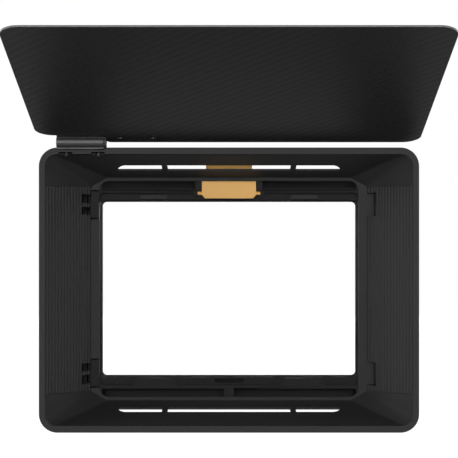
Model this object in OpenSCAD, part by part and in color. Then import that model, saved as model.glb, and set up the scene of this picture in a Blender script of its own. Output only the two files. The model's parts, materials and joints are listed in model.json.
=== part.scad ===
// Camera matte box: a flared light hood that swings open on the left, a carbon top flag on a torque
// hinge, and a filter stage with two lift-out trays for 4 x 5.65 inch filters.
// Origin: on the optical axis at the rear mounting face. -Y looks out of the hood, +X is the hood's
// latch side and +Z is up.

/* [Filter] */
// Width of the clear window
window_w = 135; // [134:0.5:136]
// Height of the clear window
window_h = 92.54; // [91.5:0.01:93]
// Width of the glass filter that a tray holds
filter_w = 143.5; // [143.4:0.05:143.6]
// Height of the glass filter that a tray holds
filter_h = 101.6; // [101.5:0.05:101.7]

/* [Hood] */
// Depth of the hood from its rim to its rear flange
hood_depth = 48; // [46:0.5:50]
// Outer width of the hood's rim
rim_w = 184.8; // [184:0.2:188]
// Outer height of the hood's rim
rim_h = 138.6; // [138:0.2:142]
// Outer corner radius of the rim
rim_r = 9; // [8:0.5:10]
// Width of the rim's front band
rim_band = 3; // [2.8:0.05:3.4]
// Thickness of the hood's moulded wall
wall = 1.1; // [1:0.1:1.4]
// Number of upright ribs on each side wall
rib_count = 15; // [10:1:15]

/* [Flag] */
// Length of the flag from its rear edge to its front edge
flag_l = 132.7; // [120:0.1:134]
// Thickness of the flag's carbon sheet
flag_t = 0.9; // [0.6:0.1:1]
// Angle that the raised flag makes with the level
flag_angle = 15; // [0:0.1:40]

/* [Stage] */
// Outer width of the filter stage
stage_w = 158; // [157:0.5:160]
// Outer height of the filter stage
stage_h = 122; // [121:0.5:123]
// Depth of the filter stage
stage_depth = 22; // [22:0.1:23]

/* [Hidden] */
$fn = 48;
eps = 0.01;
soft_fn = 32;

// Depths along Y: the rear mounting face is 0
stage_y = -stage_depth;
front_frame_t = 2.5;
back_plate_t = 3.5;
hood_gap = 0.5;
flange_t = 1.5;
flange_y = stage_y - hood_gap - flange_t;
rim_y = flange_y - hood_depth;

// Hood: the opening of the rim's lip, the inside behind the lip, the inside at the flange with its
// blunted corners, and the opening of the flange
rim_in = [rim_w - 2 * rim_band, rim_h - 2 * rim_band - 0.7];
rim_in_r = 5.5;
rim_depth = 4;
lip_t = 1;
lip_over = 0.35;
wall_in = [rim_in[0] + 2 * lip_over, rim_in[1] + 2 * lip_over];
throat = [143.6, 115.6];
throat_r = 3;
throat_blunt = [6.4, 3.6];
mouth = [134.2, 112];
mouth_r = 4.5;
side_slope = (wall_in[0] - throat[0]) / 2 / (hood_depth - lip_t);
top_slope = (wall_in[1] - throat[1]) / 2 / (hood_depth - lip_t);
function side_x(y) = throat[0] / 2 + (flange_y - y) * side_slope;
function top_z(y) = throat[1] / 2 + (flange_y - y) * top_slope;

// Light slots in the hood's top and bottom walls
slot_inner = 31.1;
slot_bridge = 2.8;
slot_outer = 56.6;
top_slot_y = [-48.5, -37.8];
bottom_slot_y = [-45.4, -37.8];
// Taper of a slot's outer end: shares of the slot's depth and how far the end draws in there
slot_taper = [[0, 3.8], [0.2, 2], [0.5, 0.7], [1, 0]];

// Ribs of the side walls, and the smooth patch among them
rib_first = 2.2;
rib_pitch = 3.05;
rib_h = 0.85;
rib_rise = 0.32;
rib_half_l = [50.7, 52.9];
rib_root = 0.4;
notch_y = [-32, -27];
notch_half = [8.7, 12.3];

// Stage channel, ledge and tabs
ledge_h = 50;
ledge_bar = 2.5;
ledge_land = [0.9, 2];
recess_top = 57.5;
recess_side = 66;
stem_half = 2.6;
block_half = 17.5;
stage_r = 6;
window_r = 2.3;
tab_base = [26.6, 50.1];
tab_top = [29.7, 47.5];
tab_h = 3.5;
tab_t = 1.2;
rail_x = 74;
rib_x = 71;
floor_top = 52.1;
floor_recess_y = stage_y + 15.5;

// Filter trays
tray_t = 6;
front_tray_y = stage_y + 3.3;
rear_tray_y = stage_y + 10.9;
tray_w = 147.4;
tray_bottom = 52;
tray_top = 61.5;
tray_lip = 1.2;
pocket_slack = 0.2;
tab_setback = 3;
pull_tab_half = 15.6;
pad_x = [32.4, 46.3];
pad_z = [46.8, 49.1];
pad_proud = 0.25;
pad_seat = 0.3;
push_slot_half = 7.4;
push_slot_z = [46.9, 48.9];
clip_x = 40;
clip_half = 9;
clip_z = [48.6, 51.9];
clip_t = 0.6;

// Filter catch
catch_y = stage_y;
catch_half = 14.1;
catch_t = 1.2;
catch_low = 47.1;
catch_high = 66.3;
catch_pin_z = 49.8;
catch_ear_r = 0.9;
catch_pin_y = catch_y + catch_ear_r;
catch_ear_x = 16.3;
catch_pin_r = 0.5;
catch_bore_r = 0.53;
catch_lug_x = 18.5;
catch_bar_y = catch_y + 1.9;
catch_bar_z = [51.2, 54.4];

// Hood hinge on the left
hinge_x = -79.2;
hinge_y = flange_y - 4;
knuckle_r = 3;
hinge_pin_r = 1.25;
hinge_bore_r = 1.29;
hood_knuckles = [[36.4, 38.1], [42.45, 44.05], [49.0, 51.5]];
stage_knuckles = [[38.4, 42.15], [44.35, 48.7]];
pocket_y = [-35, -24];
pockets = [[38.3, 42.25], [44.25, 48.8]];
hinge_cutout = [36.1, 51.3];
hinge_block_z = [36.9, 50.7];
hinge_block_x = 71.8;
hinge_block_t = 1.4;

// Latches on the right
latch_z = 43.6;
latch_half = 5.9;
latch_wall = 3.2;
latch_in_y = [-34.8, -24];
latch_y = [-41.2, -22.7];
latch_front_wall = 1.2;
cover_x = 86;
cover_t = 1.5;
cover_screw_y = -31;
cover_screw_z = [latch_z - latch_half - 1.6, latch_z + latch_half + 1.6];
cover_screw_r = 0.8;
cover_screw_l = 5.5;
cover_head_r = 1.5;
cover_head_h = 0.9;
button_y = -31;
button_r = 3.5;
button_out = 4;
slider_x = [75.2, 83.2];
slider_flange = 2.4;
slider_half = 5.6;
slider_y = [-34.2, -24.5];
slider_front = -39.8;
post_x = [76.5, 78.1];
post_half = 2.6;
post_l = 9.5;
post_slot_x = [76.1, 80.6];
post_room_x = 75.3;
post_slot_y = -32.7;
latch_spring_y = -37.4;
latch_spring_x = [78.8, 83];

// Torque hinge of the flag
flag_axis_y = rim_y - 2.5;
flag_axis_z = rim_h / 2 + 2.3;
barrel_r = 2.6;
barrel_x = [-83.4, -60.6];
rod_r = 1.25;
rod_bore_r = 1.29;
rod_in = -82;
foot_x = [-86, -58];
foot_rear = rim_y + 7;
foot_t = 1;
foot_sink = 0.85;
foot_screw_x = [-79.4, -63.6];
foot_screw_y = rim_y + 3;
foot_screw_r = 0.8;
foot_hole_r = 0.9;
foot_head_r = 1.2;
foot_head_h = 2;
foot_nut_r = 1.8;
foot_nut_h = 1.2;
head_room_r = 1.35;
rim_notch_half = 3.3;
rim_notch_z = [rim_h / 2 - 3.3, rim_h / 2 - 2.2];
rim_notch_y = rim_y + 5.5;

// Flag panel and the hinge arm over it, in the panel's own frame: the hinge axis is the origin
panel_low = 1.05;
panel_rear = 2.94;
panel_r = 8.5;
panel_half = rim_w / 2;
panel_notch_x = -59.2;
panel_notch_l = 9.5;
panel_notch_r = 2;
cheek_x = [-60.45, -59.3];
cheek_skirt = [1.8, 2.5];
leaf_x = -31;
leaf_left = -83.2;
leaf_reach = -13;
leaf_clear = -2.05;
leaf_t = 1;
leaf_rear = 2.7;
flag_screw_x = [-52.3, -36.6];
flag_screw_y = -2.6;
flag_screw_r = 1;
flag_hole_r = 1.1;
flag_head_r = 1.9;
flag_head_h = 0.7;
flag_nut_r = 2;
flag_nut_h = 1.3;

// Screws of the stage and inserts of the rear face
stage_screw_x = 76.5;
stage_screw_z = 32;
stage_screw_r = 1.25;
stage_hole_r = 1.3;
stage_head_r = 2.3;
stage_head_h = 1.4;
insert_x = 73;
insert_z = 54;
insert_r = 2.1;
insert_l = 3.2;
insert_bore_r = 1.25;
seal_w = 3;
seal_gap = 1;
seal_groove = 1;
seal_proud = 0.5;

// A flat plate with rounded corners, standing upright: its thickness runs from y to y + t
module upright_plate(size, r, y, t) {
  translate([0, y + t, 0])
    rotate([90, 0, 0])
      linear_extrude(t)
        rounded_square(size, r);
}

module rounded_square(size, r) {
  square([size[0] - 2 * r, size[1]], center = true);
  square([size[0], size[1] - 2 * r], center = true);
  for (sx = [-1, 1])
    for (sz = [-1, 1])
      translate([sx * (size[0] / 2 - r), sz * (size[1] / 2 - r)])
        circle(r);
}

// A box given by its limits along each axis
module span(x, y, z) {
  translate([x[0], y[0], z[0]])
    cube([x[1] - x[0], y[1] - y[0], z[1] - z[0]]);
}

// A round bar along Y from y to y + l
module bar_y(x, z, r, y, l) {
  translate([x, y + l, z])
    rotate([90, 0, 0])
      cylinder(r = r, h = l);
}

// A round bar along X between two places
module bar_x(x, y, z, r) {
  translate([x[0], y, z])
    rotate([0, 90, 0])
      cylinder(r = r, h = x[1] - x[0]);
}

module both_ends() {
  children();
  mirror([0, 0, 1])
    children();
}

module both_sides() {
  children();
  mirror([1, 0, 0])
    children();
}

// A round wire wound round Z, with flat-sided section, from z = 0 to z = l
module coil(r, wire_r, l, turns) {
  steps = turns * 16;
  sides = 8;
  points = [
    for (i = [0:steps])
      for (j = [0:sides - 1])
        let (a = 360 * i / 16, b = 360 * j / sides, rr = r + wire_r * cos(b))
          [rr * cos(a), rr * sin(a), l * i / steps + wire_r * sin(b)]
  ];
  walls = [
    for (i = [0:steps - 1])
      for (j = [0:sides - 1])
        let (k = (j + 1) % sides)
          [i * sides + j, (i + 1) * sides + j, (i + 1) * sides + k, i * sides + k]
  ];
  first = [for (j = [0:sides - 1]) j];
  last = [for (j = [sides - 1:-1:0]) steps * sides + j];
  polyhedron(points, concat(walls, [first, last]));
}

// ---------------------------------------------------------------- stage

module hinge_fingers() {
  for (z = stage_knuckles) {
    span([hinge_x - knuckle_r, hinge_x + knuckle_r], [hinge_y, stage_y + eps], z);
    translate([hinge_x, hinge_y, z[0]])
      cylinder(r = knuckle_r, h = z[1] - z[0]);
  }
}

module ledge_tab() {
  low = -ledge_h - 1;
  translate([0, stage_y + tab_t, 0])
    rotate([90, 0, 0])
      linear_extrude(tab_t)
        polygon([
          [tab_base[0], low], [tab_base[1], low], [tab_base[1], -ledge_h],
          [tab_top[1], -ledge_h + tab_h], [tab_top[0], -ledge_h + tab_h], [tab_base[0], -ledge_h]
        ]);
}

// A window over the ledge; the ledge's face slopes back into it
module recess_window(x, land) {
  translate([x[0], 0, 0])
    rotate([90, 0, 90])
      linear_extrude(x[1] - x[0])
        polygon([
          [stage_y - 1, ledge_h + land], [stage_y, ledge_h + land],
          [stage_y + front_frame_t - 0.4, ledge_h + ledge_bar],
          [stage_y + front_frame_t + 1, ledge_h + ledge_bar],
          [stage_y + front_frame_t + 1, recess_top], [stage_y - 1, recess_top]
        ]);
}

module stage_front_frame() color("#2c2c2e") {
  difference() {
    union() {
      difference() {
        upright_plate([stage_w, stage_h], stage_r, stage_y, front_frame_t);
        upright_plate([window_w, 2 * ledge_h], 3, stage_y - 1, front_frame_t + 2);
        both_sides()
          recess_window([block_half, recess_side], ledge_land[0]);
        both_sides()
          mirror([0, 0, 1])
            recess_window([stem_half, recess_side], ledge_land[1]);
        // Gap that the catch's lever stands in, wider where its ears turn
        span([-catch_half - 0.3, catch_half + 0.3], [stage_y - 1, 0], [ledge_h - 2, stage_h]);
        span([-catch_ear_x - 0.2, catch_ear_x + 0.2], [stage_y - 1, 0], [ledge_h - 2, ledge_h + 1.1]);
      }
      both_sides()
        ledge_tab();
      both_sides()
        span([catch_ear_x + 0.2, catch_lug_x], [stage_y, stage_y + front_frame_t], [48.4, 51]);
      // Thin bar behind the lever: its stop and the seat of its spring
      span([-catch_half - 1, catch_half + 1], [catch_bar_y, stage_y + front_frame_t], catch_bar_z);
      both_ends() {
        hinge_fingers();
        span([-hinge_block_x, -window_w / 2], [stage_y - hinge_block_t, stage_y + eps], hinge_block_z);
      }
      both_ends()
        span(post_x, [stage_y - post_l, stage_y + eps], [latch_z - post_half, latch_z + post_half]);
    }
    bar_x([-catch_lug_x - 1, catch_lug_x + 1], catch_pin_y, catch_pin_z, catch_bore_r);
    translate([hinge_x, hinge_y, -stage_h / 2])
      cylinder(r = hinge_bore_r, h = stage_h);
    // Reliefs beside the hinge fingers, and above and below the hinge blocks
    both_ends() {
      for (z = pockets)
        span([hinge_x + knuckle_r, -hinge_block_x], [stage_y - 1, stage_y + front_frame_t + 1], z);
      for (z = [[hinge_cutout[0], hinge_block_z[0]], [hinge_block_z[1], hinge_cutout[1]]])
        span([-throat[0] / 2, -window_w / 2 - 1], [stage_y - 1, stage_y + front_frame_t + 1], z);
    }
    stage_screw_holes(stage_screw_r + eps, [stage_y + 1, stage_y + front_frame_t + 1]);
  }
}

module stage_screw_holes(r, y) {
  both_sides()
    both_ends()
      bar_y(stage_screw_x, stage_screw_z, r, y[0], y[1] - y[0]);
}

module stage_side_rail() {
  rear = -back_plate_t;
  front = stage_y + front_frame_t;
  rib_z = [-floor_top, stage_h / 2 - stage_r];
  difference() {
    union() {
      span([rail_x, stage_w / 2], [front, rear], [-stage_h / 2 + stage_r, stage_h / 2 - stage_r]);
      span([rib_x, rail_x + 1], [front_tray_y + tray_t + 0.25, rear_tray_y - 0.3], rib_z);
      span([rib_x, rail_x + 1], [rear_tray_y + tray_t + 0.3, rear], rib_z);
    }
    stage_screw_holes(stage_hole_r, [front - 1, rear + 1]);
  }
}

module stage_side_rail_left() color("#242426") {
  mirror([1, 0, 0])
    stage_side_rail();
}

module stage_side_rail_right() color("#242426") {
  stage_side_rail();
}

module stage_floor_rail() color("#242426") {
  difference() {
    span([-rail_x + 0.1, rail_x - 0.1], [stage_y + front_frame_t, -back_plate_t], [-stage_h / 2, -floor_top]);
    span([-recess_side, recess_side], [stage_y, floor_recess_y], [-recess_top, 0]);
  }
}

module seal_ring(y, t) {
  inner = [window_w + 2 * seal_gap, window_h + 2 * seal_gap];
  outer = [inner[0] + 2 * seal_w, inner[1] + 2 * seal_w];
  difference() {
    upright_plate(outer, window_r + seal_w, y, t);
    upright_plate(inner, window_r, y - 1, t + 2);
  }
}

module stage_back_plate() color("#2c2c2e") {
  difference() {
    upright_plate([stage_w, stage_h], stage_r, -back_plate_t, back_plate_t);
    upright_plate([window_w, window_h], window_r, -back_plate_t - 1, back_plate_t + 2);
    seal_ring(-seal_groove, seal_groove + 1);
    stage_screw_holes(stage_hole_r, [-back_plate_t - 1, 1]);
    stage_screw_holes(stage_head_r + 0.1, [-stage_head_h, 1]);
    both_sides()
      both_ends()
        bar_y(insert_x, insert_z, insert_r, -insert_l, insert_l + 1);
    span([-catch_half - 2, catch_half + 2], [-back_plate_t - 1, 1], [stage_h / 2 - 3, stage_h]);
  }
}

module stage_screws() color("#3a3a3c") {
  both_sides()
    both_ends() {
      bar_y(stage_screw_x, stage_screw_z, stage_screw_r, stage_y + 1.2, -stage_head_h - stage_y - 1.2 + eps);
      difference() {
        bar_y(stage_screw_x, stage_screw_z, stage_head_r, -stage_head_h, stage_head_h - 0.1);
        hex_socket();
      }
    }
}

module hex_socket() {
  translate([stage_screw_x, 0.1, stage_screw_z])
    rotate([90, 0, 0])
      cylinder(r = 1.15, h = 1, $fn = 6);
}

module rear_inserts() color("#b08d4a") {
  both_sides()
    both_ends()
      difference() {
        bar_y(insert_x, insert_z, insert_r, -insert_l, insert_l);
        bar_y(insert_x, insert_z, insert_bore_r, -insert_l - 1, insert_l + 2);
      }
}

module rear_light_seal() color("#161617") {
  seal_ring(-seal_groove, seal_groove + seal_proud);
}

// ---------------------------------------------------------------- filter catch

module filter_catch() color("#d4a353") {
  shoulder_z = 60;
  head_half = 12;
  difference() {
    union() {
      translate([0, catch_y + catch_t, 0])
        rotate([90, 0, 0])
          linear_extrude(catch_t)
            polygon([
              [-catch_half + 1.6, catch_low], [catch_half - 1.6, catch_low],
              [catch_half, catch_low + 1.8], [catch_half, shoulder_z - 2], [head_half, shoulder_z],
              [head_half, catch_high], [-head_half, catch_high], [-head_half, shoulder_z],
              [-catch_half, shoulder_z - 2], [-catch_half, catch_low + 1.8]
            ]);
      bar_x([-catch_ear_x, catch_ear_x], catch_pin_y, catch_pin_z, catch_ear_r);
    }
    bar_x([-catch_ear_x - 1, catch_ear_x + 1], catch_pin_y, catch_pin_z, catch_bore_r);
  }
}

module catch_pin() color("#9a9a9c") {
  bar_x([-catch_lug_x + 0.1, catch_lug_x - 0.1], catch_pin_y, catch_pin_z, catch_pin_r);
}

// A bent leaf spring that stands on the frame's top edge and pushes the lever forward
module catch_spring() color("#9a9a9c") {
  leaf_y = catch_y + catch_t;
  translate([-4, 0, 0])
    rotate([90, 0, 90])
      linear_extrude(8)
        polygon([
          [leaf_y + 0.45, 51.6], [leaf_y + 0.65, 51.6], [leaf_y + 0.65, 53.2], [leaf_y + 0.25, 58.6],
          [leaf_y + 0.05, 58.6], [leaf_y + 0.45, 53.2]
        ]);
}

// ---------------------------------------------------------------- filter trays

module tray_frame(y) {
  pocket = [filter_w + pocket_slack, filter_h + pocket_slack];
  difference() {
    union() {
      span([-tray_w / 2, tray_w / 2], [y, y + tray_t], [-tray_bottom, tray_bottom]);
      span([-pull_tab_half, pull_tab_half], [y + tab_setback, y + tray_t], [0, tray_top]);
    }
    upright_plate([window_w, window_h + 0.06], window_r, y - 1, tray_t + 2);
    upright_plate(pocket, 1, y + tray_lip, tray_t);
    span([-push_slot_half, push_slot_half], [y - 1, y + tray_t], [-push_slot_z[1], -push_slot_z[0]]);
    both_sides()
      span(pad_x, [y - 1, y + pad_seat], pad_z);
    // Finger notch in the pull tab, also the lever's room
    translate([0, y + tray_t + 1, tray_top + 1])
      rotate([90, 0, 0])
        cylinder(r = 9, h = tray_t + 2);
    // Seats of the two clips that hold the filter
    both_sides()
      span([clip_x - clip_half, clip_x + clip_half], [y + tray_t - clip_t, y + tray_t + 1], [clip_z[0], 60]);
  }
}

module tray_pads(y) {
  both_sides()
    span(
      [pad_x[0] + 0.05, pad_x[1] - 0.05],
      [y - pad_proud, y + pad_seat],
      [pad_z[0] + 0.05, pad_z[1] - 0.05]
    );
}

// Two flat clips on the tray's top edge that hold the glass in from behind
module tray_clips(y) {
  both_sides()
    span([clip_x - clip_half + 0.1, clip_x + clip_half - 0.1], [y + tray_t - clip_t, y + tray_t], clip_z);
}

module front_tray_frame() color("#303032") {
  tray_frame(front_tray_y);
}

module front_tray_pads() color("#5a5a5c") {
  tray_pads(front_tray_y);
}

module front_tray_clips() color("#8e8e90") {
  tray_clips(front_tray_y);
}

module rear_tray_frame() color("#303032") {
  tray_frame(rear_tray_y);
}

module rear_tray_pads() color("#5a5a5c") {
  tray_pads(rear_tray_y);
}

module rear_tray_clips() color("#8e8e90") {
  tray_clips(rear_tray_y);
}

// ---------------------------------------------------------------- hood

module thin_plate(size, r, y) {
  upright_plate(size, r, y, eps, $fn = soft_fn);
}

// The throat's outline, made larger by more
module throat_plate(more, y, t) {
  x = throat[0] / 2 - throat_r;
  z = throat[1] / 2 - throat_r;
  translate([0, y + t, 0])
    rotate([90, 0, 0])
      linear_extrude(t)
        hull()
          for (sx = [-1, 1])
            for (sz = [-1, 1]) {
              translate([sx * x, sz * (z - throat_blunt[1])])
                circle(throat_r + more, $fn = soft_fn);
              translate([sx * (x - throat_blunt[0]), sz * z])
                circle(throat_r + more, $fn = soft_fn);
            }
}

module hood_outside() {
  hull() {
    thin_plate([wall_in[0] + 2 * wall, wall_in[1] + 2 * wall], rim_in_r + lip_over + wall, rim_y + lip_t);
    throat_plate(wall, flange_y - eps, eps);
  }
}

module hood_inside() {
  hull() {
    thin_plate(wall_in, rim_in_r + lip_over, rim_y + lip_t);
    throat_plate(0, flange_y - eps, eps);
  }
  upright_plate(rim_in, rim_in_r, rim_y - 1, lip_t + 1 + eps, $fn = soft_fn);
}

// A side wall's rib panel: sawtooth ribs on the sloping wall, the steep flanks toward the front
module rib_panel() {
  slope = [-side_slope, 1] / sqrt(1 + side_slope * side_slope);
  inward = [-slope[1], slope[0]];
  start = [side_x(rim_y + rib_first), rim_y + rib_first];
  step = rib_pitch * sqrt(1 + side_slope * side_slope);
  last = rib_count * step;
  ribs = [
    for (i = [0:rib_count - 1])
      for (peak = [0, 1])
        start + slope * step * (i + rib_rise * peak) + inward * rib_h * peak
  ];
  back = [start + slope * last, start + slope * last - inward * rib_root, start - inward * rib_root];
  difference() {
    intersection() {
      translate([0, 0, -rib_half_l[1]])
        linear_extrude(2 * rib_half_l[1])
          polygon(concat(ribs, back));
      along_x([
        [rim_y, -rib_half_l[0]], [flange_y + 1, -rib_half_l[1]],
        [flange_y + 1, rib_half_l[1]], [rim_y, rib_half_l[0]]
      ]);
    }
    // Smooth patch without ribs at mid-height
    along_x([
      [notch_y[0], -notch_half[0]], [notch_y[1], -notch_half[1]],
      [notch_y[1], notch_half[1]], [notch_y[0], notch_half[0]]
    ]);
  }
}

// An outline of Y and Z that runs through the right side wall
module along_x(outline) {
  translate([60, 0, 0])
    rotate([90, 0, 90])
      linear_extrude(40)
        polygon(outline);
}

module slot_2d(x0, x1, y) {
  outer_end = [for (step = slot_taper) [x1 - step[1], y[0] + step[0] * (y[1] - y[0])]];
  polygon(concat([[x0, y[1]], [x0, y[0]]], outer_end));
}

// The three openings of one wall, cut upward from z = low
module light_slots(y, low) {
  translate([0, 0, low])
    linear_extrude(20) {
      translate([-slot_inner, y[0]])
        square([2 * slot_inner, y[1] - y[0]]);
      slot_2d(slot_inner + slot_bridge, slot_outer, y);
      mirror([1, 0])
        slot_2d(slot_inner + slot_bridge, slot_outer, y);
    }
}

module hood_knuckle_arms() {
  for (z = hood_knuckles) {
    span([hinge_x, -side_x(hinge_y) + 1], [hinge_y - knuckle_r, hinge_y + knuckle_r], z);
    translate([hinge_x, hinge_y, z[0]])
      cylinder(r = knuckle_r, h = z[1] - z[0]);
  }
}

module latch_housing() {
  half = latch_half + latch_wall;
  difference() {
    span([70, cover_x], latch_y, [latch_z - half, latch_z + half]);
    for (z = cover_screw_z)
      bar_x([cover_x - cover_screw_l, cover_x + 1], cover_screw_y, z, cover_screw_r + eps);
  }
}

module latch_cavity() {
  span(
    [70, cover_x + 1],
    [latch_y[0] + latch_front_wall, latch_y[1] + 1],
    [latch_z - latch_half, latch_z + latch_half]
  );
}

// The part of the cavity outside the hood's wall, the window through the wall, and the way through
// the rear flange for the stage's post
module latch_room() {
  difference() {
    latch_cavity();
    span([60, 100], [latch_y[0] - 1, latch_in_y[0]], [0, 80]);
    span([60, post_room_x], [flange_y, 0], [0, 80]);
  }
  intersection() {
    latch_cavity();
    span([78.2, cover_x + 1], [latch_y[0], latch_in_y[0] + 1], [0, 80]);
  }
}

module foot_pad() {
  span(foot_x, [rim_y + rim_depth - 1, foot_rear + 1], [top_z(foot_rear), rim_h / 2 - eps]);
}

// Shallow seat in the rim's top for the hinge foot
module foot_seat_cut() {
  span(
    [barrel_x[0] - 0.15, barrel_x[1] - 0.25],
    [rim_y - 1, foot_rear + 0.15],
    [rim_h / 2 - foot_sink, rim_h / 2 + 1]
  );
}

module hood_shell() color("#2e2e30") {
  difference() {
    union() {
      difference() {
        union() {
          hood_outside();
          upright_plate([rim_w, rim_h], rim_r, rim_y, rim_depth);
          throat_plate(wall, flange_y - eps, flange_t + eps);
          both_ends()
            latch_housing();
          both_ends()
            hood_knuckle_arms();
          foot_pad();
        }
        hood_inside();
        upright_plate(mouth, mouth_r, flange_y - 1, flange_t + 2);
      }
      both_sides()
        rib_panel();
    }
    light_slots(top_slot_y, 45);
    mirror([0, 0, 1])
      light_slots(bottom_slot_y, 45);
    both_ends()
      latch_room();
    both_ends()
      for (z = pockets)
        span([-90, -60], pocket_y, z);
    // Cut-outs of the rear flange around the stage's hinge blocks
    both_ends()
      span([-throat[0] / 2 - wall - 1, -60], [flange_y, flange_y + flange_t + 1], hinge_cutout);
    translate([hinge_x, hinge_y, -stage_h / 2])
      cylinder(r = hinge_bore_r, h = stage_h);
    for (x = foot_screw_x) {
      translate([x, foot_screw_y, 50])
        cylinder(r = foot_hole_r, h = 30);
      // Room for the head, and the slit over it through the rim's face
      translate([x, foot_screw_y, 50])
        cylinder(r = head_room_r, h = rim_notch_z[1] - 50);
      span([x - rim_notch_half, x + rim_notch_half], [rim_y - 1, rim_notch_y], rim_notch_z);
    }
    foot_seat_cut();
  }
}

module hinge_pin() {
  low = hood_knuckles[0][0];
  high = hood_knuckles[2][1];
  translate([hinge_x, hinge_y, low])
    cylinder(r = hinge_pin_r, h = high - low);
}

module hinge_pin_upper() color("#8c8c8e") {
  hinge_pin();
}

module hinge_pin_lower() color("#8c8c8e") {
  mirror([0, 0, 1])
    hinge_pin();
}

module latch_button() {
  difference() {
    union() {
      span(slider_x, slider_y, [latch_z - slider_half, latch_z + slider_half]);
      span(
        [slider_x[1] - eps, slider_x[1] + slider_flange],
        [slider_front, slider_y[1]],
        [latch_z - slider_half, latch_z + slider_half]
      );
      bar_x([slider_x[1], cover_x + button_out], button_y, latch_z, button_r);
    }
    // Channel for the stage's post
    span(
      post_slot_x,
      [post_slot_y, slider_y[1] + 1],
      [latch_z - slider_half - 1, latch_z + slider_half + 1]
    );
  }
}

module latch_button_upper() color("#1e1e20") {
  latch_button();
}

module latch_button_lower() color("#1e1e20") {
  mirror([0, 0, 1])
    latch_button();
}

module latch_spring() {
  translate([latch_spring_x[0], latch_spring_y, latch_z])
    rotate([0, 90, 0])
      coil(1.6, 0.25, latch_spring_x[1] - latch_spring_x[0] - 0.1, 4);
}

module latch_spring_upper() color("#9a9a9c") {
  latch_spring();
}

module latch_spring_lower() color("#9a9a9c") {
  mirror([0, 0, 1])
    latch_spring();
}

module latch_covers() color("#28282a") {
  half = latch_half + latch_wall;
  both_ends()
    difference() {
      span([cover_x, cover_x + cover_t], latch_y, [latch_z - half, latch_z + half]);
      bar_x([cover_x - 1, cover_x + cover_t + 1], button_y, latch_z, button_r + 0.08);
      for (z = cover_screw_z)
        bar_x([cover_x - 1, cover_x + cover_t + 1], cover_screw_y, z, cover_screw_r + 0.05);
    }
}

module latch_cover_screws() color("#3a3a3c") {
  top = cover_x + cover_t;
  both_ends()
    for (z = cover_screw_z) {
      bar_x([top - cover_screw_l, top + eps], cover_screw_y, z, cover_screw_r);
      difference() {
        bar_x([top, top + cover_head_h], cover_screw_y, z, cover_head_r);
        translate([top + 0.4, cover_screw_y, z])
          rotate([0, 90, 0])
            cylinder(r = 0.75, h = 1, $fn = 6);
      }
    }
}

// ---------------------------------------------------------------- flag hinge

module flag_hinge_barrel() color("#8f8f91") {
  top = rim_h / 2;
  difference() {
    union() {
      bar_x(barrel_x, flag_axis_y, flag_axis_z, barrel_r);
      // Foot: a strap that runs back from the barrel over the rim's top
      span(
        [barrel_x[0], barrel_x[1] - 0.4],
        [flag_axis_y, foot_rear],
        [top - foot_sink + 0.05, top - foot_sink + 0.05 + foot_t]
      );
      // Web between the strap and the barrel
      span(
        [barrel_x[0], barrel_x[1] - 0.4],
        [flag_axis_y, flag_axis_y + 1.2],
        [top - foot_sink + 0.05, flag_axis_z]
      );
    }
    bar_x([barrel_x[0] + 0.6, barrel_x[1] + 1], flag_axis_y, flag_axis_z, rod_bore_r);
    for (x = foot_screw_x)
      translate([x, foot_screw_y, top - 2])
        cylinder(r = foot_hole_r, h = 4);
  }
}

module hinge_foot_screws() color("#55555a") {
  seat = rim_notch_z[1];
  for (x = foot_screw_x) {
    translate([x, foot_screw_y, seat - eps])
      cylinder(r = foot_screw_r, h = rim_h / 2 - foot_sink + foot_t + foot_nut_h + 0.4 - seat);
    difference() {
      translate([x, foot_screw_y, seat - foot_head_h])
        cylinder(r = foot_head_r, h = foot_head_h);
      translate([x, foot_screw_y, seat - foot_head_h - 0.4])
        cylinder(r = 0.6, h = 1.2, $fn = 6);
    }
  }
}

module hinge_foot_nuts() color("#55555a") {
  for (x = foot_screw_x)
    translate([x, foot_screw_y, rim_h / 2 - foot_sink + 0.06 + foot_t])
      difference() {
        cylinder(r = foot_nut_r, h = foot_nut_h, $fn = 6);
        translate([0, 0, -1])
          cylinder(r = foot_screw_r + 0.03, h = foot_nut_h + 2);
      }
}

// Everything on the flag is drawn level about the hinge axis and raised by flag_angle
module raised() {
  translate([0, flag_axis_y, flag_axis_z])
    rotate([-flag_angle, 0, 0])
      children();
}

module flag_outline() {
  front = panel_rear - flag_l;
  difference() {
    translate([0, (panel_rear + front) / 2])
      rounded_square([2 * panel_half, flag_l], panel_r);
    translate([-panel_half - 1, panel_rear - panel_notch_l])
      square([panel_half + 1 + panel_notch_x, panel_notch_l + 1]);
  }
}

module flag_panel() color("#262627") {
  raised()
    difference() {
      translate([0, 0, panel_low])
        linear_extrude(flag_t)
          difference() {
            flag_outline();
            // Round beside the notch, and the small round at its other end
            translate([-panel_half - 1, panel_rear - panel_notch_l - panel_r])
              difference() {
                square([panel_r + 1, panel_r + 1]);
                translate([panel_r + 1, 0])
                  circle(panel_r);
              }
            translate([panel_notch_x - 1, panel_rear - panel_notch_r])
              difference() {
                square([panel_notch_r + 1, panel_notch_r + 1]);
                translate([panel_notch_r + 1, 0])
                  circle(panel_notch_r);
              }
          }
      for (x = flag_screw_x)
        translate([x, flag_screw_y, 0])
          cylinder(r = flag_hole_r, h = 5);
    }
}

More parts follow.
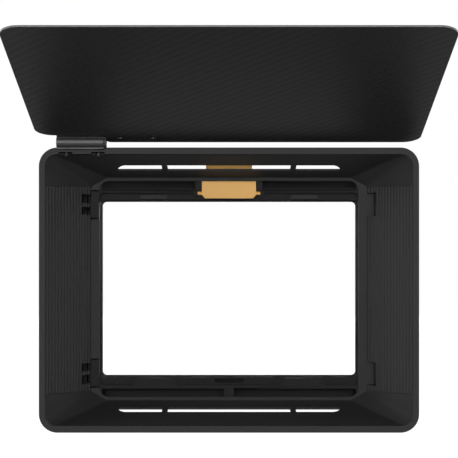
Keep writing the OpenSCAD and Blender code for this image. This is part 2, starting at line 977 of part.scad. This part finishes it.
module flag_hinge_arm() color("#3c3c3f") {
  top = panel_low + flag_t + 0.02;
  raised()
    difference() {
      union() {
        bar_x([rod_in, cheek_x[0] + eps], 0, 0, rod_r);
        bar_x(cheek_x, 0, 0, barrel_r);
        span(cheek_x, [-barrel_r, leaf_rear], [0, top + leaf_t]);
        span(cheek_x, [-cheek_skirt[0], cheek_skirt[0]], [-cheek_skirt[1], 0]);
        span([cheek_x[0], leaf_x], [leaf_reach, leaf_rear], [top, top + leaf_t]);
        span([leaf_left, cheek_x[0] + eps], [leaf_reach, leaf_clear], [top, top + leaf_t]);
      }
      for (x = flag_screw_x)
        translate([x, flag_screw_y, 0])
          cylinder(r = flag_hole_r, h = 8);
    }
}

module flag_screws() color("#6a6a6e") {
  raised()
    for (x = flag_screw_x)
      translate([x, flag_screw_y, 0]) {
        translate([0, 0, panel_low - eps])
          cylinder(r = flag_screw_r, h = flag_t + leaf_t + flag_nut_h + 0.4);
        difference() {
          translate([0, 0, panel_low - flag_head_h])
            cylinder(r = flag_head_r, h = flag_head_h);
          translate([0, 0, panel_low - flag_head_h - 0.6])
            cylinder(r = 0.9, h = 1, $fn = 6);
        }
      }
}

module flag_screw_nuts() color("#6a6a6e") {
  raised()
    for (x = flag_screw_x)
      translate([x, flag_screw_y, panel_low + flag_t + leaf_t + 0.04])
        difference() {
          cylinder(r = flag_nut_r, h = flag_nut_h, $fn = 6);
          translate([0, 0, -1])
            cylinder(r = flag_screw_r + 0.03, h = flag_nut_h + 2);
        }
}

stage_front_frame();
stage_side_rail_left();
stage_side_rail_right();
stage_floor_rail();
stage_back_plate();
stage_screws();
rear_inserts();
rear_light_seal();
filter_catch();
catch_pin();
catch_spring();
front_tray_frame();
front_tray_pads();
front_tray_clips();
rear_tray_frame();
rear_tray_pads();
rear_tray_clips();
hood_shell();
hinge_pin_upper();
hinge_pin_lower();
latch_button_upper();
latch_button_lower();
latch_spring_upper();
latch_spring_lower();
latch_covers();
latch_cover_screws();
flag_hinge_barrel();
hinge_foot_screws();
hinge_foot_nuts();
flag_panel();
flag_hinge_arm();
flag_screws();
flag_screw_nuts();
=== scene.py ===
"""The looks of the matte box: materials, edge rounds, studio and camera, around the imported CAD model."""

import json
import math

import bpy
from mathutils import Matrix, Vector


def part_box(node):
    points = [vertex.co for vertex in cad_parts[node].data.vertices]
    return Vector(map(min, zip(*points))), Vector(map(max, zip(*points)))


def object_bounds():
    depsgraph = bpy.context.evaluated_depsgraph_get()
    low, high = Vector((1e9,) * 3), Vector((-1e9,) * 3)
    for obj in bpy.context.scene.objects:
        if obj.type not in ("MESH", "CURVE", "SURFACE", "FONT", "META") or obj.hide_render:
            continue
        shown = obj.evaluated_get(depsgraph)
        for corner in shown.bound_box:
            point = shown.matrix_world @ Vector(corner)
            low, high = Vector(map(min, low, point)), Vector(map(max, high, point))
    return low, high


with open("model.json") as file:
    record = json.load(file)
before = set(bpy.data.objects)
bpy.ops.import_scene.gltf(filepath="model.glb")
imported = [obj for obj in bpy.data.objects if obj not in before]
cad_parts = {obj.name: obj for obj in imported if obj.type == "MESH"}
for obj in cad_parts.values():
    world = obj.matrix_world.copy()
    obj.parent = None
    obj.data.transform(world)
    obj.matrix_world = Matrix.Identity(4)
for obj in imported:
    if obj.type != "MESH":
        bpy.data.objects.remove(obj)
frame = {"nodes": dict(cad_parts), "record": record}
cad_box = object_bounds()
nodes = frame["nodes"]

MM = 0.001
# The flag rises to the front by this angle, so its weave is laid out in its own plane
FLAG_ANGLE = math.radians(15.0)

# Camera: level, on the object's centre plane, this far in front of the hood's rim, framed by its shift
CAMERA_GAP = 0.700
CAMERA_Z = 0.0092
CAMERA_LENS = 113.27
CAMERA_SENSOR = 36.0
CAMERA_SHIFT = 0.0921


# ---------------------------------------------------------------- node helpers


def new_material(name):
    """A material with one Principled shader, and a function that adds nodes to it."""
    material = bpy.data.materials.new(name)
    material.use_nodes = True
    tree = material.node_tree
    tree.nodes.clear()
    output = tree.nodes.new("ShaderNodeOutputMaterial")
    shader = tree.nodes.new("ShaderNodeBsdfPrincipled")
    tree.links.new(shader.outputs["BSDF"], output.inputs["Surface"])
    return material, tree, shader


def add(tree, kind, inputs=None, **settings):
    """Adds a node, sets its settings, and sets or links its inputs."""
    node = tree.nodes.new(kind)
    for key, value in settings.items():
        setattr(node, key, value)
    for key, value in (inputs or {}).items():
        if isinstance(value, bpy.types.NodeSocket):
            tree.links.new(value, node.inputs[key])
        else:
            node.inputs[key].default_value = value
    return node


def maths(tree, operation, a, b=0.0):
    """One arithmetic step on one or two values."""
    return add(tree, "ShaderNodeMath", {0: a, 1: b}, operation=operation).outputs[0]


def object_position(tree):
    """The place on the piece, in metres."""
    return add(tree, "ShaderNodeTexCoord").outputs["Object"]


def noise(tree, position, scale, detail=2.0, roughness=0.5):
    """A noise pattern from 0 to 1, with this many cells to a metre."""
    values = {"Vector": position, "Scale": scale, "Detail": detail, "Roughness": roughness}
    return add(tree, "ShaderNodeTexNoise", values).outputs["Fac"]


def spread(tree, value, low, high):
    """A value from 0 to 1, stretched to run from low to high."""
    values = {"Value": value, "To Min": low, "To Max": high}
    return add(tree, "ShaderNodeMapRange", values).outputs["Result"]


def tinted(tree, colour, factor):
    """The colour, made lighter or darker by a factor that varies over the surface."""
    values = {"Vector": colour, "Scale": factor}
    return add(tree, "ShaderNodeVectorMath", values, operation="SCALE").outputs["Vector"]


def bump(tree, height, distance):
    """A surface normal for a relief of this depth in metres."""
    values = {"Height": height, "Distance": distance}
    return add(tree, "ShaderNodeBump", values).outputs["Normal"]


# ---------------------------------------------------------------- materials


def moulding(name, colour, roughness, specular, grain=0.25 * MM, depth=0.012 * MM):
    """Spark-eroded matte moulding: fine grain, and a shade and shine that change slowly over it."""
    clouds_per_metre = 28.0
    material, tree, shader = new_material(name)
    place = object_position(tree)
    fine = noise(tree, place, 1 / grain, 3.0, 0.6)
    cloudy = noise(tree, place, clouds_per_metre, 4.0, 0.55)
    tree.links.new(tinted(tree, colour, spread(tree, cloudy, 0.88, 1.12)), shader.inputs["Base Color"])
    mixed = maths(tree, "ADD", maths(tree, "MULTIPLY", fine, 0.5), maths(tree, "MULTIPLY", cloudy, 0.5))
    tree.links.new(spread(tree, mixed, roughness - 0.07, roughness + 0.07), shader.inputs["Roughness"])
    tree.links.new(bump(tree, fine, depth), shader.inputs["Normal"])
    shader.inputs["Specular IOR Level"].default_value = specular
    return material


def brushed_metal(name, colour, roughness, along="X", metallic=1.0):
    """Drawn or turned metal with fine lines along one axis."""
    lines_across = 9000.0
    lines_along = 60.0
    line_depth = 0.004 * MM
    material, tree, shader = new_material(name)
    stretch = tuple(lines_along if axis == along else lines_across for axis in "XYZ")
    scaled = add(tree, "ShaderNodeMapping", {"Vector": object_position(tree), "Scale": stretch})
    lines = noise(tree, scaled.outputs["Vector"], 1.0, 2.0)
    tree.links.new(tinted(tree, colour, spread(tree, lines, 0.8, 1.2)), shader.inputs["Base Color"])
    tree.links.new(spread(tree, lines, roughness - 0.06, roughness + 0.08), shader.inputs["Roughness"])
    tree.links.new(bump(tree, lines, line_depth), shader.inputs["Normal"])
    shader.inputs["Metallic"].default_value = metallic
    return material


def rubber(name, colour, grain):
    """Soft, dull rubber or foam with open cells."""
    cell_depth = 0.05 * MM
    material, tree, shader = new_material(name)
    place = object_position(tree)
    cells = noise(tree, place, 1 / grain, 4.0, 0.7)
    tree.links.new(tinted(tree, colour, spread(tree, cells, 0.75, 1.25)), shader.inputs["Base Color"])
    tree.links.new(spread(tree, cells, 0.78, 0.95), shader.inputs["Roughness"])
    tree.links.new(bump(tree, cells, cell_depth), shader.inputs["Normal"])
    return material


def carbon_twill(name):
    """Satin carbon sheet: 2 x 2 twill tows that run along and across the flag, with painted sheen that
    makes warp tows lighter than weft tows, and sanded cut edges.
    """
    tow = 1.5 * MM
    weave_depth = 0.03 * MM
    fibres_per_metre = 2500.0
    sheet_colour = (0.0075, 0.0075, 0.0077)
    sanded_colour = (0.20, 0.20, 0.203)
    turn = (FLAG_ANGLE, 0.0, 0.0)
    material, tree, shader = new_material(name)
    level = add(tree, "ShaderNodeMapping", {"Vector": object_position(tree), "Rotation": turn})
    flat = add(tree, "ShaderNodeSeparateXYZ", {"Vector": level.outputs["Vector"]})
    across = maths(tree, "DIVIDE", flat.outputs["X"], tow)
    along = maths(tree, "DIVIDE", flat.outputs["Y"], tow)
    cell = maths(tree, "ADD", maths(tree, "FLOOR", across), maths(tree, "FLOOR", along))
    phase = maths(tree, "FLOORED_MODULO", cell, 4.0)
    warp_up = maths(tree, "LESS_THAN", phase, 1.5)
    warp_round = maths(tree, "SINE", maths(tree, "MULTIPLY", maths(tree, "FRACT", across), math.pi))
    weft_round = maths(tree, "SINE", maths(tree, "MULTIPLY", maths(tree, "FRACT", along), math.pi))
    mixed = {"Factor": warp_up, "A": weft_round, "B": warp_round}
    height = add(tree, "ShaderNodeMix", mixed, data_type="FLOAT").outputs[0]
    fibres = noise(tree, level.outputs["Vector"], fibres_per_metre, 2.0)
    # Painted sheen: warp tows are painted 7% lighter and weft tows 7% darker in place of the tows'
    # directional reflection; the fibre noise adds random tone
    sheen_and_fibre_tone = maths(tree, "ADD", spread(tree, warp_up, 0.93, 1.07), spread(tree, fibres, -0.12, 0.12))
    # A cut edge is where the surface faces sideways in the sheet's own plane
    normal = add(tree, "ShaderNodeTexCoord").outputs["Normal"]
    facing = add(tree, "ShaderNodeMapping", {"Vector": normal, "Rotation": turn}, vector_type="NORMAL")
    upright = add(tree, "ShaderNodeSeparateXYZ", {"Vector": facing.outputs["Vector"]}).outputs["Z"]
    cut_edge = maths(tree, "LESS_THAN", maths(tree, "ABSOLUTE", upright), 0.5)
    sheet = tinted(tree, sheet_colour, sheen_and_fibre_tone)
    sanded = tinted(tree, sanded_colour, spread(tree, fibres, 0.8, 1.2))
    colour = add(tree, "ShaderNodeMix", {0: cut_edge, 6: sheet, 7: sanded}, data_type="RGBA")
    tree.links.new(colour.outputs[2], shader.inputs["Base Color"])
    tree.links.new(spread(tree, warp_up, 0.42, 0.5), shader.inputs["Roughness"])
    tree.links.new(bump(tree, height, weave_depth), shader.inputs["Normal"])
    shader.inputs["Coat Weight"].default_value = 0.15
    shader.inputs["Coat Roughness"].default_value = 0.35
    return material


MATERIALS = {
    "hood_plastic": moulding("hood_plastic", (0.041, 0.041, 0.0415), 0.62, 0.12),
    "stage_plastic": moulding("stage_plastic", (0.021, 0.021, 0.0213), 0.62, 0.12),
    "tray_plastic": moulding("tray_plastic", (0.0195, 0.0195, 0.0198), 0.64, 0.12),
    "button_plastic": moulding("button_plastic", (0.016, 0.016, 0.0165), 0.5, 0.2),
    "catch_orange": moulding("catch_orange", (0.92, 0.50, 0.12), 0.45, 0.3, 0.2 * MM, 0.006 * MM),
    "carbon_sheet": carbon_twill("carbon_sheet"),
    "hinge_steel": brushed_metal("hinge_steel", (0.095, 0.095, 0.097), 0.5, metallic=0.8),
    "arm_black": brushed_metal("arm_black", (0.03, 0.03, 0.031), 0.5, metallic=0.5),
    "pin_steel": brushed_metal("pin_steel", (0.42, 0.42, 0.43), 0.3),
    "screw_black": brushed_metal("screw_black", (0.06, 0.06, 0.062), 0.36, "Z"),
    "insert_brass": brushed_metal("insert_brass", (0.62, 0.42, 0.16), 0.33, "Y"),
    "seal_rubber": rubber("seal_rubber", (0.012, 0.012, 0.012), 0.3 * MM),
    "pad_rubber": rubber("pad_rubber", (0.034, 0.034, 0.0345), 0.15 * MM),
}

# Width of the round on each piece's sharp edges, in millimetres; 0 leaves a piece as the CAD has it
EDGE_ROUND = {
    "hood_shell": 0.16,
    "stage_front_frame": 0.18,
    "stage_side_rail_left": 0.3,
    "stage_side_rail_right": 0.3,
    "stage_floor_rail": 0.3,
    "stage_back_plate": 0.3,
    "filter_catch": 0.0,
    "front_tray_frame": 0.25,
    "rear_tray_frame": 0.25,
    "latch_covers": 0.3,
    "latch_button_upper": 0.3,
    "latch_button_lower": 0.3,
    "flag_panel": 0.12,
    "flag_hinge_barrel": 0.0,
    "flag_hinge_arm": 0.0,
}
SMALL_ROUND = 0.06
SHARP_EDGE = math.radians(34)


def dress(node, slot):
    """Gives a CAD node its slot's material and a small round on its sharp edges."""
    piece = nodes[node]
    piece.data.materials.clear()
    piece.data.materials.append(MATERIALS[slot])
    width = EDGE_ROUND.get(node, SMALL_ROUND)
    if width == 0:
        return
    weld = piece.modifiers.new("weld", "WELD")
    weld.merge_threshold = 0.002 * MM
    bevel = piece.modifiers.new("edge_round", "BEVEL")
    bevel.width = width * MM
    bevel.segments = 2
    bevel.limit_method = "ANGLE"
    bevel.angle_limit = SHARP_EDGE
    bevel.harden_normals = True
    bevel.use_clamp_overlap = False
    bevel.miter_outer = "MITER_ARC"


for part in frame["record"]["subparts"]:
    dress(part["node"], part["material_slot"])


# ---------------------------------------------------------------- studio

LIGHT_TARGET = Vector((0.0, -0.05, 0.0))

# World and floor: how bright the camera sees them, and how bright the object feels them
SEEN = 1.0
WORLD_FELT = 0.0
FLOOR_FELT = 0.13
FLOOR_HALF = 3.0

# Soft boxes: name, place in metres, side in metres, power in watts
SOFT_BOXES = [
    ("front_box", (0.0, -1.6, 0.05), 0.8, 19.5),
    ("left_box", (-1.5, -0.6, 0.1), 0.8, 12.5),
    ("right_box", (1.5, -0.6, 0.1), 0.8, 6.2),
    ("rear_box", (0.0, 1.7, 0.03), 0.4, 8.0),
    ("rear_left_box", (-1.6, 0.9, 0.1), 0.8, 9.0),
    ("rear_right_box", (1.6, 0.9, 0.1), 0.8, 9.0),
    ("top_box", (0.0, 0.1, 1.6), 0.8, 8.0),
]


def area_light(name, place, size, power):
    """A square soft box that points at the middle of the object and isn't seen itself."""
    data = bpy.data.lights.new(name, "AREA")
    data.energy = power
    data.shape = "RECTANGLE"
    data.size = size
    data.size_y = size
    light = bpy.data.objects.new(name, data)
    light.location = place
    light.rotation_euler = (LIGHT_TARGET - Vector(place)).to_track_quat("-Z", "Y").to_euler()
    light.visible_camera = False
    bpy.context.scene.collection.objects.link(light)


def white_world():
    """A backdrop that is white to the camera and gives the object no light."""
    world = bpy.data.worlds.new("studio_white")
    world.use_nodes = True
    tree = world.node_tree
    background = tree.nodes["Background"]
    background.inputs["Color"].default_value = (1.0, 1.0, 1.0, 1.0)
    to_camera = tree.nodes.new("ShaderNodeLightPath").outputs["Is Camera Ray"]
    tree.links.new(spread(tree, to_camera, WORLD_FELT, SEEN), background.inputs["Strength"])
    bpy.context.scene.world = world


def pale_floor(z):
    """A level floor that is white to the camera and glows dimly on the object."""
    half = FLOOR_HALF
    mesh = bpy.data.meshes.new("studio_floor")
    corners = [(-half, -half, z), (half, -half, z), (half, half, z), (-half, half, z)]
    mesh.from_pydata(corners, [], [(0, 1, 2, 3)])
    floor = bpy.data.objects.new("studio_floor", mesh)
    bpy.context.scene.collection.objects.link(floor)
    material, tree, shader = new_material("studio_floor")
    shader.inputs["Base Color"].default_value = (0.25, 0.25, 0.25, 1.0)
    shader.inputs["Roughness"].default_value = 1.0
    shader.inputs["Specular IOR Level"].default_value = 0.0
    shader.inputs["Emission Color"].default_value = (1.0, 1.0, 1.0, 1.0)
    to_camera = tree.nodes.new("ShaderNodeLightPath").outputs["Is Camera Ray"]
    tree.links.new(spread(tree, to_camera, FLOOR_FELT, SEEN), shader.inputs["Emission Strength"])
    mesh.materials.append(material)


white_world()
pale_floor(cad_box[0][2])
for box_name, box_place, box_side, box_power in SOFT_BOXES:
    area_light(box_name, box_place, box_side, box_power)

camera_data = bpy.data.cameras.new("camera")
camera_data.lens = CAMERA_LENS
camera_data.sensor_width = CAMERA_SENSOR
camera_data.shift_y = CAMERA_SHIFT
camera = bpy.data.objects.new("camera", camera_data)
camera.location = (0.0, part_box("hood_shell")[0][1] - CAMERA_GAP, CAMERA_Z)
camera.rotation_euler = (math.radians(90), 0.0, 0.0)
bpy.context.scene.collection.objects.link(camera)
bpy.context.scene.camera = camera
bpy.context.scene.view_settings.view_transform = "Standard"
